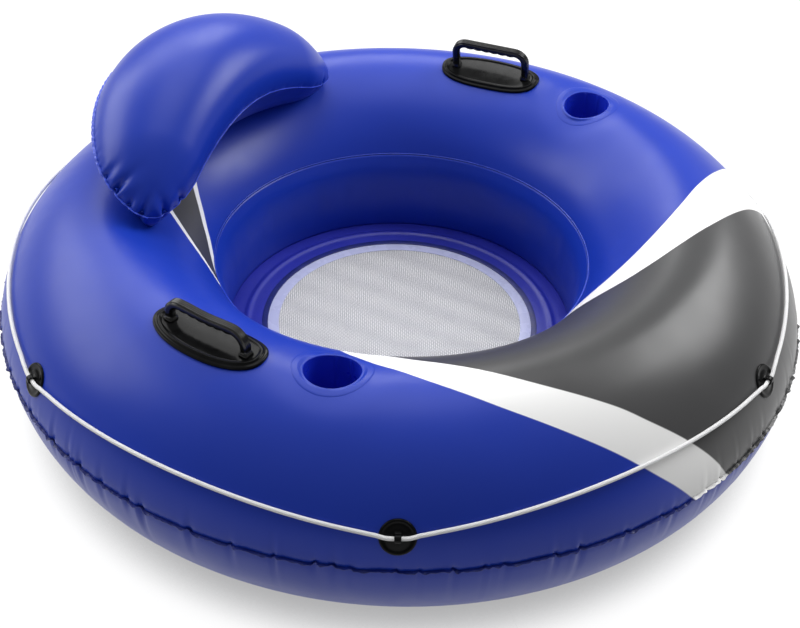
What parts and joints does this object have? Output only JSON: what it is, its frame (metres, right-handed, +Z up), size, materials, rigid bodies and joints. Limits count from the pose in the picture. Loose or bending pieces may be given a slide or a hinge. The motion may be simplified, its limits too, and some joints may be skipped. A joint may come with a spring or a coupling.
{
  "type": "river tube",
  "caption": "Inflatable river tube: a round ring seat with a mesh floor, crescent headrest, cup holders, carry handles and a grab rope round the outside.",
  "frame": {"origin": "on the ground at the ring's centre", "axes": "+Z up, +Y towards the headrest, +X to the right of someone who stands at the foot and looks at the headrest"},
  "size_m": [1.309, 1.309, 0.5221],
  "materials": {
    "blue_vinyl": "satin blue PVC sheet with white and grey printed stripes",
    "clear_vinyl": "translucent lavender PVC strip",
    "net": "light grey knitted mesh",
    "black_fitting": "glossy black moulded PVC",
    "rope": "white braided polyester rope",
    "valve_plastic": "milky soft PVC"
  },
  "bodies": {
    "tube": {"upper_skin": "blue_vinyl", "lower_skin": "blue_vinyl", "outer_weld_band": "blue_vinyl", "inner_weld_band": "blue_vinyl", "seat_wall": "blue_vinyl", "floor_ledge": "blue_vinyl", "mesh_border": "clear_vinyl", "mesh_floor": "net", "cup_holder_left": "blue_vinyl", "cup_holder_right": "blue_vinyl", "left_handle_base": "black_fitting", "right_handle_base": "black_fitting", "left_handle_grip": "black_fitting", "right_handle_grip": "black_fitting", "rope_patch_1": "black_fitting", "rope_patch_2": "black_fitting", "rope_patch_3": "black_fitting", "rope_patch_4": "black_fitting", "rope_patch_5": "black_fitting", "rope_patch_6": "black_fitting", "grab_rope": "rope", "rope_knot": "rope", "headrest_pillow": "blue_vinyl", "headrest_weld_band": "blue_vinyl", "main_valve_base": "valve_plastic", "headrest_valve_base": "valve_plastic"},
    "valve_seat": {"main_valve_seat": "valve_plastic"},
    "valve_flap": {"main_valve_flap": "valve_plastic"},
    "valve_cap": {"main_valve_cap": "valve_plastic"},
    "headrest_stem": {"headrest_valve_stem": "valve_plastic"},
    "headrest_stopper": {"headrest_valve_stopper": "valve_plastic"}
  },
  "joints": [
    {"name": "valve_seat_hinge", "type": "hinge", "parent": "tube", "child": "valve_seat", "pos_m": [0.38421, 0.45779, 0.28622], "axis": [-0.475, -0.5281, 0.7039], "range_deg": [0, 100]},
    {"name": "valve_cap_hinge", "type": "hinge", "parent": "valve_seat", "child": "valve_cap", "pos_m": [0.41116, 0.4361, 0.28814], "axis": [0.475, 0.5281, -0.7039], "range_deg": [0, 120]},
    {"name": "valve_flap_hinge", "type": "hinge", "parent": "valve_seat", "child": "valve_flap", "pos_m": [0.38875, 0.4467, 0.28097], "axis": [0.475, 0.5281, -0.7039], "range_deg": [0, 30], "stiffness_Nm_per_rad": 0.001, "springref_deg": -11.46},
    {"name": "headrest_stem_slide", "type": "slide", "parent": "tube", "child": "headrest_stem", "axis": [-0.0691, -0.8915, 0.4477], "range_m": [0, 0.009]},
    {"name": "headrest_stopper_hinge", "type": "hinge", "parent": "headrest_stem", "child": "headrest_stopper", "pos_m": [0.04316, 0.50984, 0.42566], "axis": [-0.098, -0.4405, -0.8924], "range_deg": [0, 120]}
  ]
}
